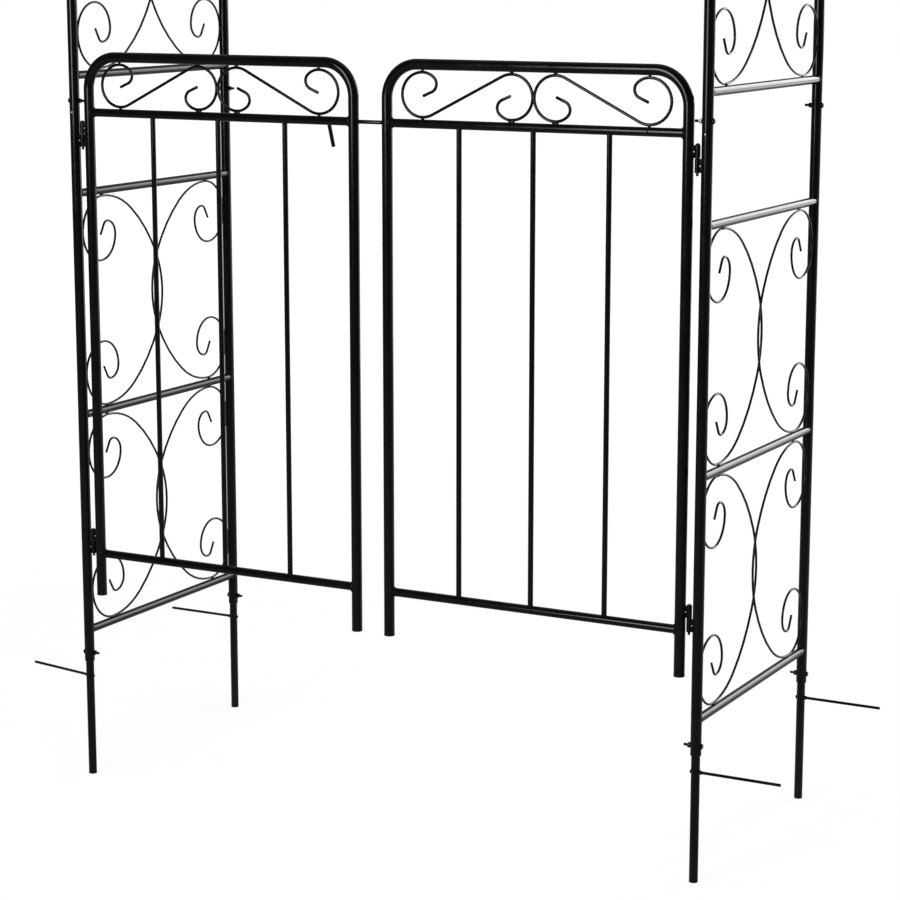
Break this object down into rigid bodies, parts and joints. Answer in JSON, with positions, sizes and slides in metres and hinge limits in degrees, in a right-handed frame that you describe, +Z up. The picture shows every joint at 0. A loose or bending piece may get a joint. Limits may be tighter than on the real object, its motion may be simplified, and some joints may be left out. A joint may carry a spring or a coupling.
{
  "type": "garden arch with gate",
  "caption": "Tubular metal garden arch with scrollwork sides, ground stakes and a low two-leaf swing gate with a sliding latch rod.",
  "frame": {"origin": "on the plane of the stake tips, midway between the four stakes", "axes": "+X across the passage to the right seen from the gate side, -Y the gate side, +Z up"},
  "size_m": [1.324, 0.4496, 2.35],
  "materials": {
    "black_powder_coat": "satin black powder coat on steel tube and wire",
    "zinc_fasteners": "zinc plate with a faint warm tint"
  },
  "bodies": {
    "frame": {"stake_front_left": "black_powder_coat", "anchor_rod_front_left": "black_powder_coat", "lower_post_front_left": "black_powder_coat", "upper_tube_front_left": "black_powder_coat", "stake_bolt_front_left": "zinc_fasteners", "joint_bolt_front_left": "zinc_fasteners", "stake_back_left": "black_powder_coat", "anchor_rod_back_left": "black_powder_coat", "lower_post_back_left": "black_powder_coat", "upper_tube_back_left": "black_powder_coat", "stake_bolt_back_left": "zinc_fasteners", "joint_bolt_back_left": "zinc_fasteners", "stake_front_right": "black_powder_coat", "anchor_rod_front_right": "black_powder_coat", "lower_post_front_right": "black_powder_coat", "upper_tube_front_right": "black_powder_coat", "stake_bolt_front_right": "zinc_fasteners", "joint_bolt_front_right": "zinc_fasteners", "stake_back_right": "black_powder_coat", "anchor_rod_back_right": "black_powder_coat", "lower_post_back_right": "black_powder_coat", "upper_tube_back_right": "black_powder_coat", "stake_bolt_back_right": "zinc_fasteners", "joint_bolt_back_right": "zinc_fasteners", "side_rung_left_1": "black_powder_coat", "side_rung_left_2": "black_powder_coat", "side_rung_left_3": "black_powder_coat", "side_rung_left_4": "black_powder_coat", "side_rung_left_5": "black_powder_coat", "arch_rung_left_1": "black_powder_coat", "arch_rung_left_2": "black_powder_coat", "arch_rung_left_3": "black_powder_coat", "side_scroll_left_1": "black_powder_coat", "side_scroll_left_2": "black_powder_coat", "side_scroll_left_3": "black_powder_coat", "side_rung_right_1": "black_powder_coat", "side_rung_right_2": "black_powder_coat", "side_rung_right_3": "black_powder_coat", "side_rung_right_4": "black_powder_coat", "side_rung_right_5": "black_powder_coat", "arch_rung_right_1": "black_powder_coat", "arch_rung_right_2": "black_powder_coat", "arch_rung_right_3": "black_powder_coat", "side_scroll_right_1": "black_powder_coat", "side_scroll_right_2": "black_powder_coat", "side_scroll_right_3": "black_powder_coat", "top_bolt_front": "zinc_fasteners", "top_bolt_back": "zinc_fasteners", "hinge_pin_left_upper": "black_powder_coat", "hinge_pin_left_lower": "black_powder_coat", "hinge_pin_right_upper": "black_powder_coat", "hinge_pin_right_lower": "black_powder_coat"},
    "left_leaf": {"gate_frame_left": "black_powder_coat", "gate_grid_left": "black_powder_coat", "gate_scroll_left": "black_powder_coat"},
    "right_leaf": {"gate_frame_right": "black_powder_coat", "gate_grid_right": "black_powder_coat", "gate_scroll_right": "black_powder_coat"},
    "latch": {"latch_rod": "black_powder_coat"}
  },
  "joints": [
    {"name": "left_leaf_swing", "type": "hinge", "parent": "frame", "child": "left_leaf", "pos_m": [-0.518, -0.2135, 0.717], "axis": [0, 0, -1], "range_deg": [-85, 100]},
    {"name": "right_leaf_swing", "type": "hinge", "parent": "frame", "child": "right_leaf", "pos_m": [0.518, -0.2135, 0.717], "axis": [0, 0, 1], "range_deg": [-85, 100]},
    {"name": "latch_slide", "type": "slide", "parent": "left_leaf", "child": "latch", "axis": [1, 0, 0], "range_m": [-0.04, 0.012]}
  ]
}
